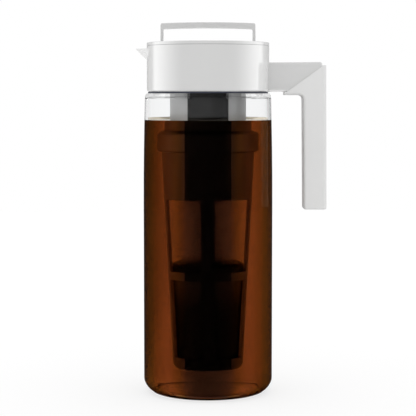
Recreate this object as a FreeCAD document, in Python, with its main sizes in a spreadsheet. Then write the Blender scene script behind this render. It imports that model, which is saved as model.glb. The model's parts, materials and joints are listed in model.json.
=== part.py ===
"""Cold brew coffee maker: a clear jug with a spout collar and handle, a twist lid with a folding
bail, and an infuser basket that hangs from the lid on a threaded ring.

Frame: millimetres, +Z up, the origin at the centre of the jug's base, the handle along +X and
the spout along -X.  Every length is a cell of the sheet Sizes.  A profile is a list of points
whose coordinates are expressions of those cells, so a changed cell moves all that hangs on it.
"""
import FreeCAD, Part
import math
import os
import re
import Sketcher
from FreeCAD import Placement, Rotation, Vector

SIZES = {
    # jug: heights are measured up from the base
    "jug_radius": 54.0,
    "jug_wall": 2.6,
    "jug_floor": 3.5,
    "foot_round": 12.0,
    "foot_ring_width": 6.0,
    "foot_recess": 1.0,
    "shoulder_height": 251.2,
    "taper_length": 91.2,
    "taper": 1.4,
    "shoulder_round": 2.5,
    "shoulder_inner_round": 2.0,
    "shoulder_step": 4.6,
    "neck_height": 22.8,
    "neck_wall": 2.5,
    "bead_rise": 8.3,
    "bead_half_width": 1.4,
    "bead_depth": 0.7,
    # coffee in the jug
    "coffee_headroom": 22.2,
    "coffee_gap": 0.3,
    "infuser_gap": 0.6,
    # collar and spout
    "collar_wall": 2.9,
    "collar_height": 37.9,
    "collar_chamfer": 0.8,
    "collar_fit": 0.3,
    "collar_gasket_height": 1.3,
    "collar_gasket_width": 1.8,
    "spout_length": 8.7,
    "spout_below_rim": 2.2,
    "spout_depth": 9.4,
    "spout_half_width": 12.7,
    "spout_tip_depth": 1.1,
    "spout_tip_half_width": 3.0,
    "spout_wall": 1.5,
    "spout_lip": 0.4,
    # handle arm, measured out from the collar and up from its lower edge
    "arm_width": 22.0,
    "arm_height": 24.3,
    "arm_rise": 0.4,
    "arm_length": 43.6,
    "arm_corner_round": 2.2,
    "arm_edge_round": 1.6,
    "mitre_start": 14.4,
    "mitre_run": 29.5,
    "mitre_rise": 21.2,
    # grip
    "grip_width": 24.0,
    "hand_gap": 27.5,
    "grip_thickness": 19.3,
    "grip_lean": 0.9,
    "grip_step": 2.8,
    "grip_heel": 2.1,
    "grip_crown": 0.6,
    "grip_drop": 95.2,
    "grip_inner_round": 3.4,
    "grip_end_round": 1.6,
    "grip_edge_round": 2.4,
    "grip_skin": 2.6,
    "grip_fit": 0.15,
    "core_root": 4.0,
    # lid
    "lid_fit": 0.6,
    "lid_seat_gap": 0.2,
    "flange_height": 2.7,
    "flange_round": 0.7,
    "lid_wall": 2.0,
    "dish_floor": 2.0,
    "lid_gasket_height": 1.2,
    "lid_gasket_width": 1.0,
    "lid_gasket_inset": 1.0,
    "seal_gap": 0.3,
    "boss_wall": 2.2,
    "boss_length": 26.6,
    "spigot_wall": 2.0,
    "spigot_height": 4.0,
    # bayonet between lid and collar
    "lug_reach": 1.2,
    "lug_below_rim": 6.4,
    "lug_height": 2.5,
    "lug_angle": 20.0,
    "bayonet_gap": 0.3,
    "entry_angle": 24.0,
    "turn_angle": 60.0,
    # valve sleeve
    "sleeve_wall": 2.4,
    "sleeve_low_wall": 3.0,
    "sleeve_depth": 18.0,
    "sleeve_step_gap": 0.6,
    "sleeve_fit": 0.4,
    "plug_seal_rise": 5.6,
    "plug_seal_height": 4.4,
    "plug_seal_depth": 1.5,
    "window_angle": 28.0,
    "window_sill": 2.2,
    "window_headroom": 0.6,
    # bail: the dish is as deep as the folded bail, and the bail as wide as the dish allows
    "bail_rise": 16.9,
    "bail_leg": 2.6,
    "bail_depth": 8.0,
    "bail_bar": 5.2,
    "bail_arch": 0.8,
    "bail_outer_round": 1.8,
    "bail_inner_round": 1.0,
    "bail_edge_round": 0.7,
    "bail_gap": 0.3,
    "bail_rim_gap": 0.8,
    "bail_foot_gap": 0.4,
    "bail_foot_flat": 0.1,
    "pin_radius": 1.5,
    "pin_fit": 0.06,
    "ear_wall": 2.4,
    "ear_round": 2.4,
    "ear_inset": 0.2,
    # infuser tube and ring
    "tube_radius": 31.8,
    "tube_wall": 2.4,
    "tube_length": 69.6,
    "tube_flange": 2.5,
    "tube_flange_height": 2.2,
    "tube_fit": 0.3,
    "tube_seal_rise": 4.0,
    "tube_seal_height": 2.6,
    "tube_seal_depth": 1.1,
    "ring_wall": 2.1,
    "ring_height": 17.7,
    "ring_lip": 5.1,
    "ring_shoulder": 2.8,
    "ring_round": 1.6,
    "ring_clearance": 0.6,
    "ring_fit": 0.3,
    # thread between ring and basket
    "thread_pitch": 6.0,
    "thread_turns": 0.9,
    "thread_lead": 2.0,
    "thread_depth": 1.3,
    "thread_root_half": 1.8,
    "thread_crest_half": 1.1,
    "thread_gap": 0.4,
    "thread_sink": 0.3,
    # basket: it hangs to a gap above the jug's floor, and its windows fill the room between
    # the closed cup below and the closed band above
    "basket_floor_gap": 17.0,
    "basket_shoulder": 0.7,
    "basket_taper": 8.3,
    "basket_round": 5.0,
    "basket_wall": 2.0,
    "basket_floor": 2.4,
    "basket_gasket_height": 1.0,
    "rib_width": 10.0,
    "side_rib_width": 14.5,
    "window_round": 2.0,
    "cup_height": 10.1,
    "mid_ring_height": 6.5,
    "basket_band": 39.2,
    "window_difference": 5.4,
    "mesh_thickness": 0.5,
    "mesh_gap": 0.3,
    "mesh_lap": 2.5,
    "grounds_above_ring": 5.0,
    "grounds_gap": 0.3,
    # how far a cut runs past the face that it opens
    "overrun": 1.0,
}

FINE = 1e-3

doc = FreeCAD.newDocument("cold_brew_coffee_maker")
sheet = doc.addObject("Spreadsheet::Sheet", "Sizes")
for row, (alias, number) in enumerate(SIZES.items(), 1):
    sheet.set(f"A{row}", alias.replace("_", " "))
    sheet.set(f"B{row}", str(number))
    sheet.setAlias(f"B{row}", alias)
doc.recompute()

# Sizes that follow from the cells, as expressions.
TAPER_START = "(shoulder_height - taper_length)"
SHOULDER_RADIUS = "(jug_radius - taper)"
NECK_RADIUS = f"({SHOULDER_RADIUS} - shoulder_step)"
NECK_BORE = f"({NECK_RADIUS} - neck_wall)"
NECK_TOP = "(shoulder_height + neck_height)"
BEAD_HEIGHT = "(shoulder_height + bead_rise)"
COFFEE_LEVEL = "(shoulder_height - coffee_headroom)"

COLLAR_BORE = f"({NECK_RADIUS} + collar_fit)"
COLLAR_RADIUS = f"({COLLAR_BORE} + collar_wall)"
COLLAR_BOTTOM = "(shoulder_height + collar_gasket_height)"
COLLAR_TOP = f"({COLLAR_BOTTOM} + collar_height)"
SPOUT_TOP = f"({COLLAR_TOP} - spout_below_rim)"
SPOUT_REACH = f"({COLLAR_RADIUS} + spout_length)"

ARM_TOP = f"({COLLAR_BOTTOM} + arm_height)"
ARM_REACH = f"({COLLAR_RADIUS} + arm_length)"
MITRE_LOW_REACH = f"({COLLAR_RADIUS} + mitre_start)"
MITRE_HIGH_REACH = f"({MITRE_LOW_REACH} + mitre_run)"
MITRE_HIGH = f"({COLLAR_BOTTOM} + mitre_rise)"
GRIP_UNDERSIDE = f"({COLLAR_BOTTOM} - grip_step)"
GRIP_LOW = f"({GRIP_UNDERSIDE} - grip_drop)"
GRIP_INNER_REACH = f"({COLLAR_RADIUS} + hand_gap)"
GRIP_OUTER_REACH = f"({GRIP_INNER_REACH} + grip_thickness)"

FLANGE_BOTTOM = f"({COLLAR_TOP} + lid_seat_gap)"
LID_TOP = f"({FLANGE_BOTTOM} + flange_height)"
PIVOT_HEIGHT = f"({LID_TOP} - bail_gap - bail_depth / 2)"
DISH_TOP = f"({PIVOT_HEIGHT} - bail_depth / 2 - bail_foot_gap)"
DISH_UNDER = f"({DISH_TOP} - dish_floor)"
LID_WALL_RADIUS = f"({COLLAR_BORE} - lid_fit)"
DISH_RADIUS = f"({LID_WALL_RADIUS} - lid_wall)"
LID_GASKET_OUTER = f"({COLLAR_RADIUS} - lid_gasket_inset)"
LID_GASKET_INNER = f"({LID_GASKET_OUTER} - lid_gasket_width)"
BAYONET_RADIUS = f"({LID_WALL_RADIUS} + lug_reach + bayonet_gap)"
LUG_BOTTOM = f"({COLLAR_TOP} - lug_below_rim)"
LUG_TOP = f"({LUG_BOTTOM} + lug_height)"

SLEEVE_RADIUS = f"({NECK_BORE} - sleeve_fit)"
SLEEVE_INNER = f"({SLEEVE_RADIUS} - sleeve_low_wall)"
SLEEVE_UPPER_INNER = f"({LID_WALL_RADIUS} - sleeve_wall)"
SLEEVE_BOTTOM = f"({NECK_TOP} - sleeve_depth)"
SLEEVE_STEP = f"({NECK_TOP} + sleeve_step_gap)"
WINDOW_BOTTOM = f"({SLEEVE_STEP} + window_sill)"
SPIGOT_OUTER = f"({SLEEVE_UPPER_INNER} - seal_gap)"
PLUG_SEAL_BOTTOM = f"({SLEEVE_BOTTOM} + plug_seal_rise)"
PLUG_SEAL_TOP = f"({PLUG_SEAL_BOTTOM} + plug_seal_height)"

BAIL_TOP = f"({LID_TOP} + bail_rise)"
BAIL_HALF_WIDTH = f"sqrt(({DISH_RADIUS} - bail_rim_gap) ^ 2 - ({BAIL_TOP} - {PIVOT_HEIGHT}) ^ 2)"
EAR_INNER = f"({BAIL_HALF_WIDTH} - bail_leg - bail_gap - ear_wall)"
EAR_OUTER = f"({BAIL_HALF_WIDTH} + bail_gap + ear_wall)"

TUBE_BORE = "(tube_radius - tube_wall)"
BOSS_RADIUS = f"({TUBE_BORE} - tube_fit)"
BOSS_BOTTOM = f"({DISH_UNDER} - boss_length)"
TUBE_SEAL_BOTTOM = f"({BOSS_BOTTOM} + tube_seal_rise)"
TUBE_SEAL_TOP = f"({TUBE_SEAL_BOTTOM} + tube_seal_height)"
TUBE_BOTTOM = f"({DISH_UNDER} - tube_length)"
TUBE_FLANGE_RADIUS = "(tube_radius + tube_flange)"
TUBE_FLANGE_TOP = f"({TUBE_BOTTOM} + tube_flange_height)"
RING_BORE = f"({TUBE_FLANGE_RADIUS} + ring_clearance)"
RING_RADIUS = f"({RING_BORE} + ring_wall)"
RING_TOP = f"({TUBE_FLANGE_TOP} + ring_lip)"
RING_SHOULDER = f"({RING_TOP} - ring_shoulder)"
RING_BOTTOM = f"({RING_TOP} - ring_height)"
THREAD_START = f"({RING_BOTTOM} + thread_lead)"

BASKET_TOP = f"({TUBE_BOTTOM} - basket_gasket_height)"
BASKET_BOTTOM = "(jug_floor + basket_floor_gap)"
BASKET_NECK = f"({RING_BORE} - thread_depth - thread_gap)"
BASKET_NECK_INNER = f"({BASKET_NECK} - basket_wall)"
BASKET_SHOULDER = f"({RING_BOTTOM} - ring_fit)"
BASKET_TOP_RADIUS = f"({BASKET_NECK} + basket_shoulder)"
BASKET_LOW_RADIUS = f"({BASKET_TOP_RADIUS} - basket_taper)"
CONE_BOTTOM = f"({BASKET_BOTTOM} + basket_round)"
CONE_SLOPE = f"(basket_taper / ({BASKET_SHOULDER} - {CONE_BOTTOM}))"
BASKET_INNER_TOP = f"({BASKET_TOP_RADIUS} - basket_wall)"
BASKET_INNER_LOW = f"({BASKET_LOW_RADIUS} - basket_wall)"
BASKET_FLOOR = f"({BASKET_BOTTOM} + basket_floor)"
LOWER_WINDOW_BOTTOM = f"({BASKET_BOTTOM} + cup_height)"
UPPER_WINDOW_TOP = f"({BASKET_SHOULDER} - basket_band)"
WINDOW_ROOM = f"({UPPER_WINDOW_TOP} - {LOWER_WINDOW_BOTTOM} - mid_ring_height)"
LOWER_WINDOW_TOP = f"({LOWER_WINDOW_BOTTOM} + ({WINDOW_ROOM} + window_difference) / 2)"
UPPER_WINDOW_BOTTOM = f"({LOWER_WINDOW_TOP} + mid_ring_height)"
GROUNDS_TOP = f"({UPPER_WINDOW_BOTTOM} + grounds_above_ring)"
BASKET_DROP = "(2 * thread_pitch)"


def expression(text):
    """The same expression with the sheet's name before each alias."""
    return re.sub(r"[a-z][a-z_]+", lambda word: "Sizes." + word[0] if word[0] in SIZES else word[0], text)


def value(text):
    """An expression's value in millimetres or degrees."""
    return float(doc.Sizes.evalExpression(expression(text)))


def cone_inner(height):
    """The basket wall's inner radius at a height, as an expression."""
    return f"({BASKET_INNER_LOW} + {CONE_SLOPE} * ({height} - {CONE_BOTTOM}))"


def bow_radius(length, rise):
    """The radius of an arc that leaves a straight line tangentially and rises beside it."""
    return f"((({length}) ^ 2 + ({rise}) ^ 2) / (2 * ({rise})))"


def new_body(label):
    body = doc.addObject("PartDesign::Body", label)
    body.Label = label
    return body


def origin_item(body, role):
    return next(item for item in body.Origin.OriginFeatures if item.Role == role)


def new_sketch(body, name, plane, offset="0", turn="0"):
    """A sketch on one of the body's own origin planes, moved along the plane's normal or turned
    about the sketch's vertical axis."""
    sketch = body.newObject("Sketcher::SketchObject", name)
    sketch.AttachmentSupport = (origin_item(body, plane), [""])
    sketch.MapMode = "FlatFace"
    sketch.AttachmentOffset = Placement(Vector(0, 0, value(offset)), Rotation(Vector(0, 1, 0), value(turn)))
    sketch.setExpression("AttachmentOffset.Base.z", expression(offset))
    sketch.setExpression("AttachmentOffset.Rotation.Angle", expression(turn))
    return sketch


def draw(sketch, points):
    """A closed outline.  A point is (x, y), reached by a line, or (x, y, radius, turn), reached
    by an arc: turn is 1 for an arc that runs anticlockwise and -1 for a clockwise one."""
    spots = [Vector(value(point[0]), value(point[1]), 0) for point in points]
    ends = []
    for index, point in enumerate(points):
        start, end = spots[index - 1], spots[index]
        if len(point) == 2:
            edge = sketch.addGeometry(Part.LineSegment(start, end), False)
            ends.append((edge, 1, 2))
            continue
        radius, turn = value(point[2]), point[3]
        chord = end - start
        half = chord.Length / 2
        side = Vector(-chord.y, chord.x, 0).normalize() * turn
        centre = (start + end) * 0.5 + side * math.sqrt(max(radius**2 - half**2, 0))
        first, last = (start, end) if turn > 0 else (end, start)
        angles = [math.atan2(spot.y - centre.y, spot.x - centre.x) for spot in (first, last)]
        circle = Part.Circle(centre, Vector(0, 0, 1), radius)
        edge = sketch.addGeometry(Part.ArcOfCircle(circle, angles[0], angles[1]), False)
        ends.append((edge, 1, 2) if turn > 0 else (edge, 2, 1))
        held = sketch.addConstraint(Sketcher.Constraint("Radius", edge, radius))
        sketch.setExpression(f"Constraints[{held}]", expression(point[2]))
    for index, point in enumerate(points):
        edge, _, end = ends[index]
        following, start, _ = ends[(index + 1) % len(points)]
        sketch.addConstraint(Sketcher.Constraint("Coincident", edge, end, following, start))
        spot = spots[index]
        for kind, text, number in (("DistanceX", point[0], spot.x), ("DistanceY", point[1], spot.y)):
            held = sketch.addConstraint(Sketcher.Constraint(kind, -1, 1, edge, end, number))
            sketch.setExpression(f"Constraints[{held}]", expression(text))


def rectangle(low_x, low_y, high_x, high_y):
    return [(low_x, low_y), (high_x, low_y), (high_x, high_y), (low_x, high_y)]


def revolve(body, name, points, kind="Revolution", plane="XZ_Plane", angle="360", turn="0"):
    """Turn an outline about the Z axis, to both sides of its plane when it isn't a full turn."""
    sketch = new_sketch(body, name + "_sketch", plane, turn=turn)
    draw(sketch, points)
    feature = body.newObject("PartDesign::" + kind, name)
    feature.Profile = sketch
    feature.ReferenceAxis = (sketch, ["V_Axis"])
    feature.Midplane = angle != "360"
    feature.setExpression("Angle", expression(angle))
    doc.recompute()
    return feature


def finish_extrusion(body, name, kind, sketch, length, both_ways):
    feature = body.newObject("PartDesign::" + kind, name)
    feature.Profile = sketch
    feature.SideType = "Symmetric" if both_ways else "One side"
    feature.Reversed = kind == "Pocket" and not both_ways
    feature.setExpression("Length", expression(length))
    doc.recompute()
    return feature


def extrude(body, name, points, length, plane, kind="Pad", offset="0", both_ways=False):
    """Pad or pocket an outline along its plane's normal, or by half the length each way."""
    sketch = new_sketch(body, name + "_sketch", plane, offset)
    draw(sketch, points)
    return finish_extrusion(body, name, kind, sketch, length, both_ways)


def bore_across(body, name, radius, start, length, both_ways=False):
    """A round hole along X on the bail's pivot axis, from a plane or to both sides of it.
    In the constraints 3 is the circle's centre, -2 the sketch's vertical axis and (-1, 1) its origin."""
    sketch = new_sketch(body, name + "_sketch", "YZ_Plane", start)
    spot = Vector(0, value(PIVOT_HEIGHT), 0)
    circle = sketch.addGeometry(Part.Circle(spot, Vector(0, 0, 1), value(radius)), False)
    sketch.addConstraint(Sketcher.Constraint("PointOnObject", circle, 3, -2))
    bound = {
        sketch.addConstraint(Sketcher.Constraint("Radius", circle, value(radius))): radius,
        sketch.addConstraint(Sketcher.Constraint("DistanceY", -1, 1, circle, 3, spot.y)): PIVOT_HEIGHT,
    }
    for held, text in bound.items():
        sketch.setExpression(f"Constraints[{held}]", expression(text))
    return finish_extrusion(body, name, "Pocket", sketch, length, both_ways)


def loft_along_x(body, name, sections, kind):
    """A loft through segments of a circle that stand across X.  A section is (x, top, drop,
    half width): a flat top edge with an arc hanging below it."""
    sketches = []
    for number, (reach, top, drop, half_width) in enumerate(sections):
        sketch = new_sketch(body, f"{name}_sketch{number}", "YZ_Plane", reach)
        radius = bow_radius(half_width, drop)
        draw(sketch, [
            (half_width, top, radius, 1),
            (f"-({half_width})", top),
            ("0", f"{top} - ({drop})", radius, 1),
        ])
        sketches.append(sketch)
    feature = body.newObject("PartDesign::" + kind, name)
    feature.Profile = sketches[0]
    feature.Sections = sketches[1:]
    feature.Ruled = True
    doc.recompute()
    return feature


def repeat_around(body, name, originals, count):
    """Copies of the features, evenly spaced about the Z axis."""
    pattern = body.newObject("PartDesign::PolarPattern", name)
    pattern.Originals = originals
    pattern.Axis = (origin_item(body, "Z_Axis"), [""])
    pattern.Angle = 360
    pattern.Occurrences = count
    body.Tip = pattern
    doc.recompute()
    return pattern


def mirror(body, name, originals, plane):
    copy = body.newObject("PartDesign::Mirrored", name)
    copy.Originals = originals
    copy.MirrorPlane = (origin_item(body, plane), [""])
    body.Tip = copy
    doc.recompute()
    return copy


def edges_where(feature, test):
    """The names of the feature's edges that pass a test."""
    return [f"Edge{number}" for number, edge in enumerate(feature.Shape.Edges, 1) if test(edge)]


def is_ring(edge, radius, height):
    """Is the edge a circle about the Z axis with this radius, at this height?"""
    curve = edge.Curve
    return (
        isinstance(curve, Part.Circle)
        and abs(curve.Radius - value(radius)) < FINE
        and abs(curve.Center.z - value(height)) < FINE
        and math.hypot(curve.Center.x, curve.Center.y) < FINE
    )


def in_side_face(edge, half_width):
    """Does the edge lie in one of the two faces that stand half a width from the XZ plane?"""
    depths = [vertex.Point.y for vertex in edge.Vertexes]
    return any(all(abs(depth - side * half_width) < FINE for depth in depths) for side in (-1, 1))


def round_edges(body, name, feature, edges, radius):
    rounded = body.newObject("PartDesign::Fillet", name)
    rounded.Base = (feature, edges)
    rounded.setExpression("Radius", expression(radius))
    doc.recompute()
    return rounded


def round_rings(body, name, feature, rings, radius):
    """Round the circular edges given as (radius, height)."""
    edges = edges_where(feature, lambda edge: any(is_ring(edge, *ring) for ring in rings))
    return round_edges(body, name, feature, edges, radius)


def ring_piece(label, inner, outer, low, high):
    """A plain ring of rectangular section."""
    body = new_body(label)
    revolve(body, label + "_turned", rectangle(inner, low, outer, high))


def thread(body, name, wall, outward, start_side):
    """A trapezoid thread ridge on a cylinder wall, standing outward (1) or inward (-1).
    start_side is 1 or -1, the side of the Z axis on which it starts."""
    root = f"{start_side} * ({wall} - {outward} * thread_sink)"
    crest = f"{start_side} * ({wall} + {outward} * thread_depth)"
    sketch = new_sketch(body, name + "_sketch", "XZ_Plane")
    draw(sketch, [
        (root, f"{THREAD_START} - thread_root_half"),
        (crest, f"{THREAD_START} - thread_crest_half"),
        (crest, f"{THREAD_START} + thread_crest_half"),
        (root, f"{THREAD_START} + thread_root_half"),
    ])
    helix = body.newObject("PartDesign::AdditiveHelix", name)
    helix.Profile = sketch
    helix.ReferenceAxis = (sketch, ["V_Axis"])
    helix.Mode = "pitch-turns-angle"
    helix.setExpression("Pitch", expression("thread_pitch"))
    helix.setExpression("Turns", expression("thread_turns"))
    doc.recompute()


def make_jug():
    """The clear jug: one blown wall from the hollowed foot to the neck."""
    body = new_body("jug")
    foot_inner = "(jug_radius - foot_round - foot_ring_width)"
    outer_bow = bow_radius("taper_length - shoulder_round", "taper")
    inner_bow = bow_radius("taper_length - jug_wall - shoulder_inner_round", "taper")
    revolve(body, "jug_turned", [
        ("0", "foot_recess"),
        (f"{foot_inner} - foot_recess", "foot_recess"),
        (foot_inner, "0"),
        ("jug_radius - foot_round", "0"),
        ("jug_radius", "foot_round", "foot_round", 1),
        ("jug_radius", TAPER_START),
        (SHOULDER_RADIUS, "shoulder_height - shoulder_round", outer_bow, 1),
        (f"{SHOULDER_RADIUS} - shoulder_round", "shoulder_height", "shoulder_round", 1),
        (NECK_RADIUS, "shoulder_height"),
        (NECK_RADIUS, f"{BEAD_HEIGHT} - bead_half_width"),
        (f"{NECK_RADIUS} + bead_depth", f"{BEAD_HEIGHT} - bead_half_width + bead_depth"),
        (f"{NECK_RADIUS} + bead_depth", f"{BEAD_HEIGHT} + bead_half_width - bead_depth"),
        (NECK_RADIUS, f"{BEAD_HEIGHT} + bead_half_width"),
        (NECK_RADIUS, NECK_TOP),
        (NECK_BORE, NECK_TOP),
        (NECK_BORE, "shoulder_height - jug_wall"),
        (f"{SHOULDER_RADIUS} - jug_wall - shoulder_inner_round", "shoulder_height - jug_wall"),
        (f"{SHOULDER_RADIUS} - jug_wall", "shoulder_height - jug_wall - shoulder_inner_round",
         "shoulder_inner_round", -1),
        ("jug_radius - jug_wall", TAPER_START, inner_bow, -1),
        ("jug_radius - jug_wall", "jug_floor + foot_round - jug_wall"),
        ("jug_radius - foot_round", "jug_floor", "foot_round - jug_wall", -1),
        ("0", "jug_floor"),
    ])


def make_coffee_fill():
    """The coffee in the jug, with a hollow round the infuser and below it, as deep as the basket
    drops when its ring is unscrewed."""
    body = new_body("coffee_fill")
    bow = bow_radius("taper_length - shoulder_round", "taper")
    climb = f"({COFFEE_LEVEL} - {TAPER_START})"
    wide = "(jug_radius - jug_wall - coffee_gap)"
    lost = f"({bow} - sqrt({bow} ^ 2 - {climb} ^ 2))"
    hollow_top = f"({RING_RADIUS} + infuser_gap)"
    hollow_cone = f"({BASKET_TOP_RADIUS} + {CONE_SLOPE} * {BASKET_DROP} + infuser_gap)"
    hollow_low = f"({hollow_cone} - basket_taper)"
    revolve(body, "coffee_turned", [
        ("0", "jug_floor"),
        ("jug_radius - foot_round - 2 * coffee_gap", "jug_floor"),
        ("jug_radius - foot_round", "jug_floor + coffee_gap"),
        (wide, "jug_floor + foot_round - jug_wall", "foot_round - jug_wall - coffee_gap", 1),
        (wide, TAPER_START),
        (f"{wide} - {lost} - coffee_gap", COFFEE_LEVEL, bow_radius(climb, f"{lost} + coffee_gap"), 1),
        (hollow_top, COFFEE_LEVEL),
        (hollow_top, f"{BASKET_SHOULDER} - infuser_gap"),
        (hollow_cone, f"{BASKET_SHOULDER} - infuser_gap"),
        (hollow_low, f"{CONE_BOTTOM} - {BASKET_DROP}"),
        (hollow_low, f"{BASKET_BOTTOM} - {BASKET_DROP} - infuser_gap"),
        ("0", f"{BASKET_BOTTOM} - {BASKET_DROP} - infuser_gap"),
    ])


def core_outline(fit):
    """The handle core's outline, grown by a clearance on every side."""
    skin = f"(grip_skin - ({fit}))"
    root = f"({MITRE_LOW_REACH} - core_root)"
    return [
        (root, f"{GRIP_UNDERSIDE} + {skin}"),
        (f"{GRIP_INNER_REACH} + {skin} - grip_inner_round", f"{GRIP_UNDERSIDE} + {skin}"),
        (f"{GRIP_INNER_REACH} + {skin}", f"{GRIP_UNDERSIDE} + {skin} - grip_inner_round",
         "grip_inner_round", -1),
        (f"{GRIP_INNER_REACH} + grip_lean + {skin}", f"{GRIP_LOW} + {skin}"),
        (f"{GRIP_OUTER_REACH} + grip_lean - {skin}", f"{GRIP_LOW} + {skin}"),
        (f"{GRIP_OUTER_REACH} - {skin}", f"{MITRE_HIGH} - 2 * {skin}"),
        (f"{MITRE_HIGH_REACH} - 2 * {skin}", f"{MITRE_HIGH} - {skin}"),
        (root, f"{COLLAR_BOTTOM} + mitre_rise / 2"),
    ]


def make_spout_collar():
    """The white moulding on the neck: ring, spout, handle arm and the core inside the grip."""
    body = new_body("spout_collar")
    inside = f"(({COLLAR_BORE} + {COLLAR_RADIUS}) / 2)"
    arm = extrude(body, "arm", [
        (inside, COLLAR_BOTTOM),
        (MITRE_LOW_REACH, COLLAR_BOTTOM),
        (MITRE_HIGH_REACH, MITRE_HIGH),
        (ARM_REACH, f"{ARM_TOP} + arm_rise - arm_corner_round"),
        (f"{ARM_REACH} - arm_corner_round", f"{ARM_TOP} + arm_rise", "arm_corner_round", 1),
        (inside, ARM_TOP),
    ], "arm_width", "XZ_Plane", both_ways=True)

    def on_arm_edge(edge):
        ends = [vertex.Point for vertex in edge.Vertexes]
        beyond = all(end.x > value(MITRE_LOW_REACH) - FINE for end in ends)
        mitre = beyond and all(end.z < value(MITRE_HIGH) + FINE for end in ends)
        inner = all(end.x < value(COLLAR_RADIUS) for end in ends)
        return in_side_face(edge, value("arm_width / 2")) and not mitre and not inner

    round_edges(body, "arm_rounded", arm, edges_where(arm, on_arm_edge), "arm_edge_round")
    extrude(body, "grip_core", core_outline("0"), "grip_width - 2 * grip_skin", "XZ_Plane", both_ways=True)
    groove_low = f"({BEAD_HEIGHT} - bead_half_width - collar_fit)"
    groove_high = f"({BEAD_HEIGHT} + bead_half_width + collar_fit)"
    revolve(body, "collar_turned", [
        (COLLAR_BORE, COLLAR_BOTTOM),
        (f"{COLLAR_RADIUS} - collar_chamfer", COLLAR_BOTTOM),
        (COLLAR_RADIUS, f"{COLLAR_BOTTOM} + collar_chamfer"),
        (COLLAR_RADIUS, COLLAR_TOP),
        (COLLAR_BORE, COLLAR_TOP),
        (COLLAR_BORE, groove_high),
        (f"{COLLAR_BORE} + bead_depth", f"{groove_high} - bead_depth"),
        (f"{COLLAR_BORE} + bead_depth", f"{groove_low} + bead_depth"),
        (COLLAR_BORE, groove_low),
    ])
    # The spout's floor falls by as much as it runs, so a section nearer the bore hangs deeper.
    channel_start = f"({COLLAR_BORE} - overrun)"
    channel_top = f"{SPOUT_TOP} + spout_lip"
    channel_depth = f"spout_depth + {COLLAR_RADIUS} - {channel_start} - spout_wall + spout_lip"
    loft_along_x(body, "spout", [
        (f"-{inside}", SPOUT_TOP, f"spout_depth + {COLLAR_RADIUS} - {inside}", "spout_half_width"),
        (f"-{SPOUT_REACH}", SPOUT_TOP, "spout_tip_depth", "spout_tip_half_width"),
    ], "AdditiveLoft")
    loft_along_x(body, "spout_channel", [
        (f"-{channel_start}", channel_top, channel_depth, "spout_half_width - spout_wall / 2"),
        (f"-({SPOUT_REACH} - spout_lip)", channel_top, "spout_tip_depth / 2 + spout_lip",
         "spout_tip_half_width - spout_wall / 2"),
    ], "SubtractiveLoft")
    track_inner, track_floor = f"{COLLAR_BORE} - overrun", f"{LUG_BOTTOM} - bayonet_gap"
    track = rectangle(track_inner, track_floor, BAYONET_RADIUS, f"{LUG_TOP} + bayonet_gap")
    groove = revolve(body, "bayonet_groove", track, "Groove", "YZ_Plane", "2 * turn_angle + entry_angle")
    slot = rectangle(track_inner, track_floor, BAYONET_RADIUS, f"{COLLAR_TOP} + overrun")
    entry = revolve(body, "bayonet_entry", slot, "Groove", "YZ_Plane", "entry_angle")
    repeat_around(body, "bayonet_pair", [groove, entry], 2)


def make_handle_grip():
    """The grip moulded over the handle core: a mitred elbow and the hanging bar."""
    body = new_body("handle_grip")
    outside = extrude(body, "grip_outside", [
        (f"{MITRE_LOW_REACH} - grip_heel", GRIP_UNDERSIDE),
        (f"{GRIP_INNER_REACH} - grip_inner_round", GRIP_UNDERSIDE),
        (GRIP_INNER_REACH, f"{GRIP_UNDERSIDE} - grip_inner_round", "grip_inner_round", -1),
        (f"{GRIP_INNER_REACH} + grip_lean", GRIP_LOW),
        (f"{GRIP_OUTER_REACH} + grip_lean", GRIP_LOW),
        (GRIP_OUTER_REACH, f"{MITRE_HIGH} + grip_crown"),
        (f"{MITRE_HIGH_REACH} + grip_crown", f"{MITRE_HIGH} + grip_crown"),
        (MITRE_HIGH_REACH, MITRE_HIGH),
        (MITRE_LOW_REACH, COLLAR_BOTTOM),
        (f"{MITRE_LOW_REACH} - grip_heel", COLLAR_BOTTOM),
    ], "grip_width", "XZ_Plane", both_ways=True)

    def on_long_edge(edge):
        ends = [vertex.Point for vertex in edge.Vertexes]
        above_end = any(end.z > value(GRIP_LOW) + FINE for end in ends)
        under = all(end.z < value(GRIP_UNDERSIDE) + FINE for end in ends)
        outer = all(end.x > value(GRIP_OUTER_REACH) - FINE for end in ends)
        return in_side_face(edge, value("grip_width / 2")) and above_end and (under or outer)

    long_edges = edges_where(outside, on_long_edge)
    rounded = round_edges(body, "grip_rounded", outside, long_edges, "grip_edge_round")

    def at_end(edge):
        return all(abs(vertex.Point.z - value(GRIP_LOW)) < FINE for vertex in edge.Vertexes)

    round_edges(body, "end_rounded", rounded, edges_where(rounded, at_end), "grip_end_round")
    extrude(body, "grip_hollow", core_outline("grip_fit"), "grip_width - 2 * grip_skin + 2 * grip_fit",
            "XZ_Plane", "Pocket", both_ways=True)


def window_cut(body, name, side, low, high):
    """An opening through the plug wall at one of the two places that can face the spout."""
    section = rectangle(f"{SPIGOT_OUTER} - spigot_wall - overrun", low, f"{LID_WALL_RADIUS} + overrun", high)
    revolve(body, name, section, "Groove", angle="window_angle", turn=f"180 + {side} * turn_angle")


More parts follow.
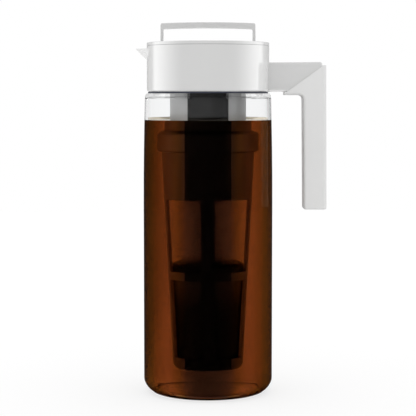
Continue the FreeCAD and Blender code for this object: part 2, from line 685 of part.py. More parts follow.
def make_lid_cap():
    """The lid: flange, wall, dished top, boss for the infuser, spigot, lugs and bail ears."""
    body = new_body("lid_cap")
    turned = revolve(body, "cap_turned", [
        ("0", DISH_UNDER),
        (f"{BOSS_RADIUS} - boss_wall", DISH_UNDER),
        (f"{BOSS_RADIUS} - boss_wall", BOSS_BOTTOM),
        (BOSS_RADIUS, BOSS_BOTTOM),
        (BOSS_RADIUS, TUBE_SEAL_BOTTOM),
        (f"{BOSS_RADIUS} - tube_seal_depth", TUBE_SEAL_BOTTOM),
        (f"{BOSS_RADIUS} - tube_seal_depth", TUBE_SEAL_TOP),
        (BOSS_RADIUS, TUBE_SEAL_TOP),
        (BOSS_RADIUS, DISH_UNDER),
        (f"{SPIGOT_OUTER} - spigot_wall", DISH_UNDER),
        (f"{SPIGOT_OUTER} - spigot_wall", f"{DISH_UNDER} - spigot_height"),
        (SPIGOT_OUTER, f"{DISH_UNDER} - spigot_height"),
        (SPIGOT_OUTER, DISH_UNDER),
        (LID_WALL_RADIUS, DISH_UNDER),
        (LID_WALL_RADIUS, FLANGE_BOTTOM),
        (f"{LID_GASKET_INNER} - seal_gap", FLANGE_BOTTOM),
        (f"{LID_GASKET_INNER} - seal_gap", f"{COLLAR_TOP} + lid_gasket_height"),
        (f"{LID_GASKET_OUTER} + seal_gap", f"{COLLAR_TOP} + lid_gasket_height"),
        (f"{LID_GASKET_OUTER} + seal_gap", FLANGE_BOTTOM),
        (COLLAR_RADIUS, FLANGE_BOTTOM),
        (COLLAR_RADIUS, LID_TOP),
        (DISH_RADIUS, LID_TOP),
        (DISH_RADIUS, DISH_TOP),
        ("0", DISH_TOP),
    ])
    rings = [(COLLAR_RADIUS, LID_TOP), (DISH_RADIUS, LID_TOP), (DISH_RADIUS, DISH_TOP)]
    round_rings(body, "rim_rounded", turned, rings, "flange_round")
    spigot_end = f"{DISH_UNDER} - spigot_height - overrun"
    window_cut(body, "spigot_gap_near", -1, spigot_end, DISH_UNDER)
    window_cut(body, "spigot_gap_far", 1, spigot_end, DISH_UNDER)
    lug_root, lug_tip = f"{LID_WALL_RADIUS} - lid_wall / 2", f"{LID_WALL_RADIUS} + lug_reach"
    section = rectangle(lug_root, LUG_BOTTOM, lug_tip, LUG_TOP)
    lug = revolve(body, "lug", section, plane="YZ_Plane", angle="lug_angle")
    repeat_around(body, "lug_pair", [lug], 2)
    half = "(bail_depth / 2 - ear_inset)"
    top = f"({LID_TOP} - bail_gap - ear_inset)"
    ear = extrude(body, "ear_block", [
        (f"-{half}", f"{DISH_TOP} - dish_floor / 2"),
        (half, f"{DISH_TOP} - dish_floor / 2"),
        (half, f"{top} - ear_round"),
        (f"{half} - ear_round", top, "ear_round", 1),
        (f"ear_round - {half}", top),
        (f"-{half}", f"{top} - ear_round", "ear_round", 1),
    ], f"{EAR_OUTER} - {EAR_INNER}", "YZ_Plane", offset=EAR_INNER)
    slot_sides = f"{BAIL_HALF_WIDTH} - bail_leg - bail_gap", f"{BAIL_HALF_WIDTH} + bail_gap"
    slot = extrude(body, "ear_slot", rectangle(slot_sides[0], "-bail_depth", slot_sides[1], "bail_depth"),
                   f"{LID_TOP} - {DISH_TOP}", "XY_Plane", "Pocket", offset=DISH_TOP)
    hole = bore_across(body, "ear_hole", "pin_radius + pin_fit / 2", f"{EAR_INNER} - overrun",
                       f"{EAR_OUTER} - {EAR_INNER} + 2 * overrun")
    mirror(body, "ears", [ear, slot, hole], "YZ_Plane")


def make_valve_sleeve():
    """The lid's plug wall: a step on the neck, a seal groove and two pour windows."""
    body = new_body("valve_sleeve")
    revolve(body, "sleeve_turned", [
        (SLEEVE_INNER, SLEEVE_BOTTOM),
        (SLEEVE_RADIUS, SLEEVE_BOTTOM),
        (SLEEVE_RADIUS, PLUG_SEAL_BOTTOM),
        (f"{SLEEVE_RADIUS} - plug_seal_depth", PLUG_SEAL_BOTTOM),
        (f"{SLEEVE_RADIUS} - plug_seal_depth", PLUG_SEAL_TOP),
        (SLEEVE_RADIUS, PLUG_SEAL_TOP),
        (SLEEVE_RADIUS, SLEEVE_STEP),
        (LID_WALL_RADIUS, SLEEVE_STEP),
        (LID_WALL_RADIUS, DISH_UNDER),
        (SLEEVE_UPPER_INNER, DISH_UNDER),
        (SLEEVE_UPPER_INNER, WINDOW_BOTTOM),
        (SLEEVE_INNER, f"{WINDOW_BOTTOM} - {SLEEVE_UPPER_INNER} + {SLEEVE_INNER}"),
    ])
    window_cut(body, "pour_window_near", -1, WINDOW_BOTTOM, f"{DISH_UNDER} - window_headroom")
    window_cut(body, "pour_window_far", 1, WINDOW_BOTTOM, f"{DISH_UNDER} - window_headroom")


def make_bail():
    """The bail: two legs and a slightly arched bar, with a pin hole in each leg."""
    body = new_body("bail")
    low = f"({PIVOT_HEIGHT} - bail_depth / 2)"
    leg_inner = f"({BAIL_HALF_WIDTH} - bail_leg)"
    top_half = f"({BAIL_HALF_WIDTH} - bail_outer_round)"
    bar_half = f"({leg_inner} - bail_inner_round)"
    top_end = f"({BAIL_TOP} - bail_arch)"
    under_end = f"({top_end} - bail_bar)"
    strap = extrude(body, "strap", [
        (leg_inner, low),
        (BAIL_HALF_WIDTH, low),
        (BAIL_HALF_WIDTH, f"{top_end} - bail_outer_round"),
        (top_half, top_end, "bail_outer_round", 1),
        (f"-{top_half}", top_end, bow_radius(top_half, "bail_arch"), 1),
        (f"-{BAIL_HALF_WIDTH}", f"{top_end} - bail_outer_round", "bail_outer_round", 1),
        (f"-{BAIL_HALF_WIDTH}", low),
        (f"-{leg_inner}", low),
        (f"-{leg_inner}", f"{under_end} - bail_inner_round"),
        (f"-{bar_half}", under_end, "bail_inner_round", -1),
        (bar_half, under_end, bow_radius(bar_half, "bail_arch"), -1),
        (leg_inner, f"{under_end} - bail_inner_round", "bail_inner_round", -1),
    ], "bail_depth", "XZ_Plane", both_ways=True)

    def at_foot(edge):
        low_edge = all(abs(vertex.Point.z - value(low)) < FINE for vertex in edge.Vertexes)
        return low_edge and in_side_face(edge, value("bail_depth / 2"))

    foot_edges = edges_where(strap, at_foot)
    feet = round_edges(body, "feet_rounded", strap, foot_edges, "bail_depth / 2 - bail_foot_flat")

    def on_rim(edge):
        above = all(vertex.Point.z > value(low) for vertex in edge.Vertexes)
        return above and in_side_face(edge, value("bail_depth / 2"))

    round_edges(body, "rims_rounded", feet, edges_where(feet, on_rim), "bail_edge_round")
    bore_across(body, "pin_holes", "pin_radius + pin_fit", "0",
                f"2 * ({BAIL_HALF_WIDTH} + overrun)", both_ways=True)


def make_bail_pin(label, start):
    """A plain hinge pin through one leg of the bail and the two ears beside it."""
    pin = doc.addObject("Part::Cylinder", label)
    pin.Label = label
    pin.setExpression("Radius", expression("pin_radius"))
    pin.setExpression("Height", expression(f"{EAR_OUTER} - {EAR_INNER}"))
    pin.Placement = Placement(Vector(), Rotation(Vector(0, 1, 0), 90))
    pin.setExpression("Placement.Base.x", expression(start))
    pin.setExpression("Placement.Base.z", expression(PIVOT_HEIGHT))


def make_infuser_tube():
    """The dark tube on the lid's boss, with a flange that carries the threaded ring."""
    body = new_body("infuser_tube")
    revolve(body, "tube_turned", [
        (TUBE_BORE, TUBE_BOTTOM),
        (TUBE_FLANGE_RADIUS, TUBE_BOTTOM),
        (TUBE_FLANGE_RADIUS, TUBE_FLANGE_TOP),
        ("tube_radius", TUBE_FLANGE_TOP),
        ("tube_radius", DISH_UNDER),
        (TUBE_BORE, DISH_UNDER),
    ])


def make_coupling_ring():
    """The threaded ring: it turns on the tube's flange and draws the basket up.  Its top slopes
    up to the tube."""
    body = new_body("coupling_ring")
    turned = revolve(body, "ring_turned", [
        (RING_BORE, RING_BOTTOM),
        (RING_RADIUS, RING_BOTTOM),
        (RING_RADIUS, RING_SHOULDER),
        ("tube_radius + ring_fit", RING_TOP),
        ("tube_radius + ring_fit", TUBE_FLANGE_TOP),
        (RING_BORE, TUBE_FLANGE_TOP),
    ])
    rings = [(RING_RADIUS, RING_SHOULDER), (RING_RADIUS, RING_BOTTOM)]
    round_rings(body, "ring_rounded", turned, rings, "ring_round")
    thread(body, "ring_thread", RING_BORE, -1, -1)


def make_basket_frame():
    """The basket: threaded neck, tapered wall, two rows of windows between ribs, closed cup."""
    body = new_body("basket_frame")
    revolve(body, "frame_turned", [
        ("0", BASKET_BOTTOM),
        (f"{BASKET_LOW_RADIUS} - basket_round", BASKET_BOTTOM),
        (BASKET_LOW_RADIUS, CONE_BOTTOM, "basket_round", 1),
        (BASKET_TOP_RADIUS, BASKET_SHOULDER),
        (BASKET_NECK, BASKET_SHOULDER),
        (BASKET_NECK, BASKET_TOP),
        (BASKET_NECK_INNER, BASKET_TOP),
        (BASKET_NECK_INNER, f"{BASKET_SHOULDER} + basket_wall"),
        (BASKET_INNER_TOP, BASKET_SHOULDER),
        (BASKET_INNER_LOW, CONE_BOTTOM),
        (BASKET_INNER_LOW, BASKET_FLOOR),
        ("0", BASKET_FLOOR),
    ])
    far = f"({BASKET_TOP_RADIUS} + basket_wall)"
    quadrants = {
        "right": rectangle("rib_width / 2", "side_rib_width / 2", far, far),
        "left": rectangle(f"-{far}", "side_rib_width / 2", "-rib_width / 2", far),
    }
    rows = {
        "lower": (LOWER_WINDOW_BOTTOM, LOWER_WINDOW_TOP),
        "upper": (UPPER_WINDOW_BOTTOM, UPPER_WINDOW_TOP),
    }
    cuts = [
        extrude(body, f"{row}_window_{side}", quadrant, f"{high} - {low}", "XY_Plane", "Pocket", offset=low)
        for side, quadrant in quadrants.items()
        for row, (low, high) in rows.items()
    ]
    windows = repeat_around(body, "windows", cuts, 2)
    levels = [value(level) for level in (
        LOWER_WINDOW_BOTTOM, LOWER_WINDOW_TOP, UPPER_WINDOW_BOTTOM, UPPER_WINDOW_TOP)]

    def window_corner(edge):
        heights = [vertex.Point.z for vertex in edge.Vertexes]
        at_level = any(all(abs(height - level) < FINE for height in heights) for level in levels)
        return at_level and isinstance(edge.Curve, Part.Line) and edge.Length < 2 * value("basket_wall")

    round_edges(body, "windows_rounded", windows, edges_where(windows, window_corner), "window_round")
    thread(body, "basket_thread", BASKET_NECK, 1, 1)


def make_mesh(label, low, high):
    """A sleeve of filter mesh inside the frame, behind one row of windows."""
    body = new_body(label)
    bottom, top = f"({low} - mesh_lap)", f"({high} + mesh_lap)"
    revolve(body, label + "_turned", [
        (f"{cone_inner(bottom)} - mesh_gap", bottom),
        (f"{cone_inner(top)} - mesh_gap", top),
        (f"{cone_inner(top)} - mesh_gap - mesh_thickness", top),
        (f"{cone_inner(bottom)} - mesh_gap - mesh_thickness", bottom),
    ])


def make_coffee_grounds():
    """The grounds that lie in the lower half of the basket."""
    body = new_body("coffee_grounds")
    inset = "(mesh_gap + mesh_thickness + grounds_gap)"
    revolve(body, "grounds_turned", [
        ("0", BASKET_FLOOR),
        (f"{BASKET_INNER_LOW} - {inset}", BASKET_FLOOR),
        (f"{BASKET_INNER_LOW} - {inset}", CONE_BOTTOM),
        (f"{cone_inner(GROUNDS_TOP)} - {inset}", GROUNDS_TOP),
        ("0", GROUNDS_TOP),
    ])


make_jug()
make_coffee_fill()
ring_piece("collar_gasket", COLLAR_BORE, f"{COLLAR_BORE} + collar_gasket_width",
           "shoulder_height", COLLAR_BOTTOM)
make_spout_collar()
make_handle_grip()
ring_piece("lid_gasket", LID_GASKET_INNER, LID_GASKET_OUTER,
           COLLAR_TOP, f"{COLLAR_TOP} + lid_gasket_height")
ring_piece("plug_seal", f"{SLEEVE_RADIUS} - plug_seal_depth + seal_gap", f"{NECK_BORE} - seal_gap",
           PLUG_SEAL_BOTTOM, PLUG_SEAL_TOP)
make_lid_cap()
make_valve_sleeve()
make_infuser_tube()
ring_piece("tube_seal", f"{BOSS_RADIUS} - tube_seal_depth + seal_gap", f"{TUBE_BORE} - tube_fit / 2",
           TUBE_SEAL_BOTTOM, TUBE_SEAL_TOP)
make_bail_pin("bail_pin_left", f"-{EAR_OUTER}")
make_bail_pin("bail_pin_right", EAR_INNER)
make_bail()
make_coupling_ring()
make_basket_frame()
make_mesh("lower_mesh", LOWER_WINDOW_BOTTOM, LOWER_WINDOW_TOP)
make_mesh("upper_mesh", UPPER_WINDOW_BOTTOM, UPPER_WINDOW_TOP)
ring_piece("basket_gasket", f"{BASKET_NECK_INNER} + seal_gap", BASKET_NECK, BASKET_TOP, TUBE_BOTTOM)
make_coffee_grounds()
doc.recompute()

NODES = [item for item in doc.Objects if item.TypeId in ("PartDesign::Body", "Part::Cylinder")]
failed = [item.Label for item in doc.Objects if {"Invalid", "Error"} & set(item.State)]
failed += [item.Label for item in NODES if item.Shape.isNull() or not item.Shape.isValid()]
if failed:
    raise RuntimeError("failed: " + ", ".join(failed))
os.makedirs("parts", exist_ok=True)
for node in NODES:
    print(f"{node.Label:16s} {len(node.Shape.Solids)} solid(s) {node.Shape.Volume / 1000:8.2f} cm3")
    node.Shape.exportStep(os.path.join("parts", node.Label + ".step"))
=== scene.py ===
"""Looks for a cold brew coffee maker: a clear jug of coffee under a white spout collar with a side
grip, a white twist lid with a folding bail, and a dark infuser with its filter mesh and wet grounds.
Lengths are in metres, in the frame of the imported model: +Z up, the handle towards +X."""
import json
import math

import bpy
import numpy as np
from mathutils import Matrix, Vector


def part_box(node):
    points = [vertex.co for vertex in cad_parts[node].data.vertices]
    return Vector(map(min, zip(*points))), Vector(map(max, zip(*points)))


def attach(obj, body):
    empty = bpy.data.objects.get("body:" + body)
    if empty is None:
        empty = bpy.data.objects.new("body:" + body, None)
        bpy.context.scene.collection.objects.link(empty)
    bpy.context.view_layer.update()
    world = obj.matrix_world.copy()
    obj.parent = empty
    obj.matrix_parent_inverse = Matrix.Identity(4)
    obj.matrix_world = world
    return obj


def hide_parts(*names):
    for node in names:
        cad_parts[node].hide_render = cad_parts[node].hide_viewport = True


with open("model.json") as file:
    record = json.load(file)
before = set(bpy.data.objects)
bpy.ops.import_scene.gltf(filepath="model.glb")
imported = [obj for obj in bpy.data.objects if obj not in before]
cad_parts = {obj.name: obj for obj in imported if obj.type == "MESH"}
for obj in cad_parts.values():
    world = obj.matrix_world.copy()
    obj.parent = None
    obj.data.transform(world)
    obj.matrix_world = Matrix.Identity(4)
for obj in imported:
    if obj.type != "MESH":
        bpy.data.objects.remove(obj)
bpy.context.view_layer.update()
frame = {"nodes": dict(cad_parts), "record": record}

# Where a value is called an easing, it is (from, to, level before, level after).

# Jug: its outside and its wall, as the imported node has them. The collar's gasket lies on its shoulder.
JUG_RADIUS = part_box("jug")[1].x
JUG_WALL = 0.0026
FOOT_ROUND = 0.012
FOOT_RECESS = 0.001
SHOULDER_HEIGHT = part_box("collar_gasket")[0].z
TAPER_LENGTH = 0.0912
TAPER = 0.0014

# Jug's looks. What lies further in than a share of its wall is its inner face, and what lies no more
# than a hair over the recess is its underside. By height, its foot's round and its top are faded, and
# its rim shows the gasket.
INNER_FACE_SHARE = 0.7
HAIR = 0.00005
JUG_FOOT_FADE = (0.5 * FOOT_ROUND, FOOT_ROUND, 0.0, 1.0)
JUG_TOP_FADE = (SHOULDER_HEIGHT - 0.005, SHOULDER_HEIGHT - 0.003, 1.0, 0.25)
JUG_RIM = (SHOULDER_HEIGHT - 0.0004, SHOULDER_HEIGHT + 0.0004, 0.0, 1.0)
GASKET_IN_RIM = (0.16, 0.18, 0.25)

# Coffee: it wets the wall, so its colour is drawn to just under the jug's outer face, and it steps
# down into the foot's ring outside FOOT_RING.
COFFEE_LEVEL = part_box("coffee_fill")[1].z
COFFEE_INSET = 0.0004
COFFEE_BOTTOM = FOOT_RECESS + COFFEE_INSET
FOOT_RING = 0.0363
FOOT_RING_STEP = 0.0006

# Coffee's brown tint where light enters it, with painted light and shade in it: brighter bands to each
# side, darker straight on and at its edges. It is fitted to one view across the jug: (share of the jug's
# half width from the middle that the camera sees, colour).
COFFEE_TINT_AND_PAINTED_LIGHT = (
    (0.0, (0.13, 0.105, 0.105)), (0.18, (0.17, 0.13, 0.12)), (0.30, (0.29, 0.19, 0.15)),
    (0.39, (0.52, 0.28, 0.10)), (0.46, (0.75, 0.375, 0.13)), (0.54, (0.84, 0.39, 0.175)),
    (0.61, (0.74, 0.33, 0.125)), (0.69, (0.54, 0.225, 0.065)), (0.77, (0.285, 0.145, 0.03)),
    (0.85, (0.14, 0.07, 0.02)), (0.895, (0.06, 0.035, 0.015)), (1.0, (0.04, 0.015, 0.004)),
)
# Painted shade: the coffee's colour is darker in the foot, fading out up to a height.
FOOT_PAINTED_SHADE = (0.07, 0.022, 0.006)
FOOT_PAINTED_SHADE_TOP = (0.0030, 0.0085, 1.0, 0.0)
COFFEE_ABSORBS = (0.62, 0.45, 0.30)
COFFEE_DENSITY = 50.0

# Froth: a thin skin on the coffee, and the film that it leaves on the wall.
FROTH_THICK = 0.0003
FROTH_CLIMB = 0.0022
FROTH_FILM = 0.0002
FROTH_GAP = 0.0001

# Infuser: a painted sheen, placed by the camera: a soft mirror with painted reflection colours past a
# reach to each side of the middle that the camera sees, above the coffee and in it.
PAINTED_SHEEN_REACH = (0.0166, 0.0177, 0.0, 1.0)
PAINTED_SHEEN_DRY = (0.45, 0.45, 0.45)
PAINTED_SHEEN_WET = (0.20, 0.175, 0.17)
PAINTED_SHEEN_SOFTNESS = 0.33
SMOKE_DRY = (0.004, 0.004, 0.004)
SMOKE_CLOUD = (0.006, 0.005, 0.005)
SMOKE_WET = (0.028, 0.024, 0.026)
WET_LINE = (COFFEE_LEVEL - 0.0004, COFFEE_LEVEL, 1.0, 0.0)

# Filter cloth: the distance between its threads, how far down its waves a thread reaches, and how
# much the threads show.
MESH_PITCH = 0.0006
MESH_RADIUS = 0.030
MESH_THREAD = 0.02
MESH_SHOWS = 0.03

# Grounds: a coarse wet heap that fills the foot of the basket, low at its edge and domed, with lumps
# of three waves (size, count round the turn, twist per metre outwards, start).
GROUNDS_EDGE = 0.1085
GROUNDS_TOP = 0.1170
GROUNDS_CLEAR = 0.0002
LUMP_HEIGHT = 0.0005
LUMP_WAVES = ((1.0, 3, 0, 1.0), (0.6, 7, 260, 0.0), (0.4, 13, -400, 0.0))

# Grounds' looks, as easings by height: paler towards the top, dark again and fading in the dome, along
# an edge that the grains make ragged.
GROUNDS_PALER = (0.070, 0.097, 0.0, 1.0)
GROUNDS_DARKER = (0.099, 0.104, 1.0, 0.1)
GROUNDS_FADE = (0.1045, 0.1160, 1.0, 0.0)
GROUNDS_RAGGED = 0.002

# How finely pieces are turned: sides round the axis, steps along their outlines, and the radii of the
# rings on their flat faces.
LIQUID_SIDES = 160
GROUNDS_SIDES = 120
FOOT_STEPS = 16
WALL_STEPS = 34
DOME_STEPS = 16
DOME_INNERMOST = 0.06
COFFEE_FLOOR_RINGS = (0, 0.012, 0.030)
COFFEE_SURFACE_RINGS = (0.050, 0.036, 0.018, 0)
FROTH_UNDER_RINGS = (0, 0.020, 0.040)
FROTH_OVER_RINGS = (0.045, 0.025, 0)

# Camera.
CAMERA_DISTANCE = 1.25
CAMERA_HEIGHT = 0.2464
CAMERA_TILT_DOWN = math.radians(4.18)
CAMERA_LENS = 129.0
SENSOR_WIDTH = 36.0

# Studio lights, as easings by the turn from straight behind the object, and by their height.
SIDE_LIGHT_FAR_EDGE = (math.radians(49), math.radians(64), 0.36, 1.0)
SIDE_LIGHT_NEAR_EDGE = (math.radians(62), math.radians(140), 1.4, 0.0)
BACK_LIGHT_EDGE = (math.radians(12), math.radians(16), 1.0, 0.0)
LIGHTS_TOP = (0.75, 0.9, 1.0, 0.0)
MATT_BY_HEIGHT = (-0.2, 1.0, 0.88, 1.1)
GLOSS_LEAST = 0.04
MIRROR_LEVEL = 0.03

# What clear things show, as easings by how far to the handle's side: of the room's light, and of the floor's
# glow, a painted shade.
ROOM_THROUGH = (0.14, 0.27, 0.93, 0.67)
FLOOR_THROUGH_PAINTED_SHADE = (0.06, 0.16, 1.02, 0.74)

# Floor: its own white, and the share of it that the camera and clear things see; the rest is lit.
FLOOR_HALF_SIZE = 2.0
FLOOR_LEVEL = -0.0002
FLOOR_WHITE = 1.02
FLOOR_SHARE_SEEN = 0.7
FLOOR_SHARE_THROUGH = 0.9
FLOOR_SIDE_START = 0.15


# ---------------------------------------------------------------- meshes

def mesh_object(name, points, faces):
    """A smooth-shaded mesh object from an array of points and a list of quads and triangles."""
    mesh = bpy.data.meshes.new(name)
    mesh.from_pydata(points.tolist(), [], faces)
    mesh.polygons.foreach_set("use_smooth", np.ones(len(mesh.polygons), bool))
    mesh.update()
    piece = bpy.data.objects.new(name, mesh)
    bpy.context.scene.collection.objects.link(piece)
    return piece


def arc(centre, radius, start_deg, end_deg, steps):
    """Points of a round: centre + radius (cos t, sin t), t running evenly from start to end."""
    turn = np.radians(np.linspace(start_deg, end_deg, steps))
    return np.column_stack([centre[0] + radius * np.cos(turn), centre[1] + radius * np.sin(turn)])


def lathe(name, profile, sides, ripple=None):
    """A profile (radius, height) turned about Z: x = r cos t, y = r sin t, with t on an even grid.
    Its first and last points lie on the axis and become poles. ripple(r, t, z) gives the grid's
    heights before they are turned."""
    profile = np.asarray(profile, float)
    rings = profile[1:-1]
    turn = np.linspace(0, 2 * np.pi, sides, endpoint=False)
    r = np.repeat(rings[:, :1], sides, axis=1)
    z = np.repeat(rings[:, 1:], sides, axis=1)
    t = np.repeat(turn[None, :], len(rings), axis=0)
    if ripple:
        z = ripple(r, t, z)
    grid = np.stack([r * np.cos(t), r * np.sin(t), z], axis=-1).reshape(-1, 3)
    points = np.vstack([grid, [[0, 0, profile[0, 1]], [0, 0, profile[-1, 1]]]])
    here = np.arange(sides)
    after = np.roll(here, -1)
    low = np.arange(len(rings) - 1)[:, None] * sides
    high = low + sides
    quads = np.stack([low + here, low + after, high + after, high + here], axis=-1).reshape(-1, 4)
    top_ring = len(grid) - sides
    bottom = np.column_stack([after, here, np.full(sides, len(grid))])
    top = np.column_stack([top_ring + here, top_ring + after, np.full(sides, len(grid) + 1)])
    return mesh_object(name, points, quads.tolist() + bottom.tolist() + top.tolist())


def jug_outside(z):
    """The jug's outer radius at a height: straight to the start of the taper, and then one shallow arc
    inwards, radius - (bow - sqrt(bow^2 - rise^2)), with bow the arc's own radius."""
    rise = np.clip(z - (SHOULDER_HEIGHT - TAPER_LENGTH), 0, None)
    bow = (TAPER_LENGTH ** 2 + TAPER ** 2) / (2 * TAPER)
    return JUG_RADIUS - (bow - np.sqrt(bow ** 2 - rise ** 2))


def coffee_profile():
    """The jug's outside, moved in by a small inset: a floor over the foot's recess, a step down into
    the foot's ring, a round of the foot's own centre, the side to the level, and a flat surface."""
    floor = [(ring, COFFEE_BOTTOM) for ring in (*COFFEE_FLOOR_RINGS, FOOT_RING)]
    corner = arc((JUG_RADIUS - FOOT_ROUND, FOOT_ROUND), FOOT_ROUND - COFFEE_INSET, -90, 0, FOOT_STEPS)
    step = (FOOT_RING + FOOT_RING_STEP, corner[0, 1])
    heights = np.linspace(1.5 * FOOT_ROUND, COFFEE_LEVEL, WALL_STEPS)
    side = np.column_stack([jug_outside(heights) - COFFEE_INSET, heights])
    surface = [(ring, COFFEE_LEVEL) for ring in COFFEE_SURFACE_RINGS]
    return np.vstack([floor, [step], corner, side, surface])


def make_coffee():
    """Coffee: one clear body turned from the jug's own shape."""
    return lathe("coffee", coffee_profile(), LIQUID_SIDES)


def froth_radius():
    """The froth's outer radius: the jug's inner face at the coffee's level, less a small gap."""
    return float(jug_outside(COFFEE_LEVEL)) - JUG_WALL - FROTH_GAP


def make_froth():
    """Froth: a thin disc on the coffee, whose rim climbs the wall as a thinner film."""
    wall = froth_radius()
    film = wall - FROTH_FILM
    skin = COFFEE_LEVEL + FROTH_THICK
    top = COFFEE_LEVEL + FROTH_CLIMB
    middle = (skin + top) / 2
    under = [(ring, COFFEE_LEVEL) for ring in (*FROTH_UNDER_RINGS, wall)]
    rim = [(wall, skin), (wall, middle), (wall, top), (film, top), (film, middle),
           (film, skin + FROTH_FILM), (film - FROTH_FILM, skin)]
    over = [(ring, skin) for ring in FROTH_OVER_RINGS]
    return lathe("coffee_froth", under + rim + over, LIQUID_SIDES)


def lumps(r, t, z):
    """Heights of a lumpy heap: z + height sum(size sin(count t + twist r + start)) sqrt(rise), where
    rise runs from 0 at the heap's edge to 1 at its top."""
    rise = np.clip((z - GROUNDS_EDGE) / (GROUNDS_TOP - GROUNDS_EDGE), 0, 1)
    wave = sum(size * np.sin(count * t + twist * r + start) for size, count, twist, start in LUMP_WAVES)
    return z + LUMP_HEIGHT * wave * np.sqrt(rise)


def make_grounds():
    """Grounds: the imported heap's own floor and cone, with its last ring moved on to the edge, and then
    a dome of height edge + (top - edge) (1 - (r / R)^2), with lumps."""
    packed = frame["nodes"]["coffee_grounds"].data.vertices
    points = np.empty(len(packed) * 3)
    packed.foreach_get("co", points)
    x, y, z = points.reshape(-1, 3).T
    radii = np.hypot(x, y)
    heights = z.round(5)
    cone = np.array([(radii[heights == level].max() - GROUNDS_CLEAR, level) for level in np.unique(heights)])
    foot, floor = cone[0]
    start, rim = cone[1], cone[-1]
    edge = rim[0] + (rim[0] - start[0]) * (GROUNDS_EDGE - rim[1]) / (rim[1] - start[1])
    share = np.linspace(1, DOME_INNERMOST, DOME_STEPS)
    dome = np.column_stack([edge * share, GROUNDS_EDGE + (GROUNDS_TOP - GROUNDS_EDGE) * (1 - share ** 2)])
    base = [(foot * part, floor) for part in (0, 0.3, 0.65)]
    return lathe("wet_grounds", np.vstack([base, cone[:-1], dome, [(0, GROUNDS_TOP)]]), GROUNDS_SIDES, lumps)


# ---------------------------------------------------------------- wiring of nodes

class Wiring:
    """A node tree with short ways to add its nodes. A value is another node's output, or plain: a
    number, or a colour of three numbers."""

    def __init__(self, tree):
        self.tree = tree
        self.nodes = tree.nodes

    def feed(self, socket, value):
        """Links an output to a socket, or sets a plain value on it."""
        if isinstance(value, bpy.types.NodeSocket):
            self.tree.links.new(value, socket)
        elif socket.type == "RGBA":
            socket.default_value = (*value, 1)
        else:
            socket.default_value = value

    def feed_named(self, node, values):
        """Feeds a node's inputs by name; an underscore stands for a space in the name."""
        for name, value in values.items():
            self.feed(node.inputs[name.replace("_", " ")], value)

    def node(self, kind, settings=None, **values):
        """A new node with its own settings, such as its operation, and values for its inputs."""
        node = self.nodes.new("ShaderNode" + kind)
        for name, value in (settings or {}).items():
            setattr(node, name, value)
        self.feed_named(node, values)
        return node

    def math(self, operation, *values, clamp=False):
        """A Math node on one or two values."""
        node = self.node("Math", {"operation": operation, "use_clamp": clamp})
        for socket, value in zip(node.inputs, values):
            self.feed(socket, value)
        return node.outputs[0]

    def product(self, *values):
        """Values multiplied together."""
        result = values[0]
        for value in values[1:]:
            result = self.math("MULTIPLY", result, value)
        return result

    def one_less(self, value, clamp=False):
        """1 - value."""
        return self.math("SUBTRACT", 1.0, value, clamp=clamp)

    def ease(self, value, start, end, before, after):
        """A value's easing: before up to start, after from end, and a smooth step between."""
        node = self.node("MapRange", {"interpolation_type": "SMOOTHSTEP"}, Value=value,
                         From_Min=start, From_Max=end, To_Min=before, To_Max=after)
        return node.outputs[0]

    def mix_colour(self, share, first, second):
        """A colour between first, at share 0, and second, at share 1."""
        node = self.node("Mix", {"data_type": "RGBA"})
        for place, value in ((0, share), (6, first), (7, second)):
            self.feed(node.inputs[place], value)
        return node.outputs[2]

    def mix_number(self, share, first, second):
        """A number between first, at share 0, and second, at share 1."""
        node = self.node("Mix", {"data_type": "FLOAT"})
        for place, value in ((0, share), (2, first), (3, second)):
            self.feed(node.inputs[place], value)
        return node.outputs[0]

    def mix_shader(self, share, first, second):
        """A shader between first, at share 0, and second, at share 1."""
        node = self.node("MixShader")
        for socket, value in zip(node.inputs, (share, first, second)):
            self.feed(socket, value)
        return node.outputs[0]

    def point(self):
        """Object coordinates, in metres in the model's own frame."""
        return self.node("TexCoord").outputs["Object"]

    def parts(self, point):
        """A point's X, Y and Z."""
        return self.node("SeparateXYZ", Vector=point).outputs

    def polar(self, point):
        """A point's distance from the Z axis, and its height."""
        x, y, z = self.parts(point)
        return self.math("SQRT", self.math("ADD", self.product(x, x), self.product(y, y))), z

    def noise(self, point, scale, detail=2.0):
        """Noise between about 0 and 1 over a point, with about scale clouds to the metre."""
        return self.node("TexNoise", Vector=point, Scale=scale, Detail=detail).outputs["Fac"]

    def facing(self, direction):
        """How directly a direction of the object's own frame faces the camera, from 0 to 1: it follows
        the camera, and has nothing to do with the surface's own normal."""
        turned = self.node("VectorTransform", {"vector_type": "VECTOR", "convert_from": "OBJECT",
                                               "convert_to": "WORLD"}, Vector=direction)
        weight = self.node("LayerWeight", Blend=0.5, Normal=turned.outputs[0])
        return self.one_less(weight.outputs["Facing"])

    def side_on(self, point):
        """How far a wall round the Z axis turns away from the camera: straight on, 0, to edge on, 1. It
        is 1 - cos a, where a is the turn of the level direction out from the axis, with the camera's
        elevation divided out. What is coloured by it moves round with the camera, and an export that
        bakes colours can't hold it."""
        level = self.node("VectorMath", {"operation": "MULTIPLY"})
        self.feed(level.inputs[0], point)
        self.feed(level.inputs[1], (1, 1, 0))
        outwards = self.node("VectorMath", {"operation": "NORMALIZE"}, Vector=level.outputs[0])
        across = self.facing(outwards.outputs[0])
        along = self.facing(self.node("CombineXYZ", Z=1.0).outputs[0])
        flat = self.math("SQRT", self.one_less(self.product(along, along)))
        return self.one_less(self.math("DIVIDE", across, flat), clamp=True)

    def light_path(self, kind):
        """One of the Light Path node's outputs."""
        return self.node("LightPath").outputs[kind]

    def backfacing(self):
        """1 where light leaves a body, and 0 where it enters."""
        return self.node("NewGeometry").outputs["Backfacing"]

    def relief(self, height, depth, strength):
        """The normal of a relief of a given depth in metres."""
        return self.node("Bump", Distance=depth, Strength=strength, Height=height).outputs["Normal"]

    def placed(self, group, **values):
        """The outputs of a node group, placed with its own values."""
        node = self.node("Group", {"node_tree": group})
        self.feed_named(node, values)
        return node.outputs


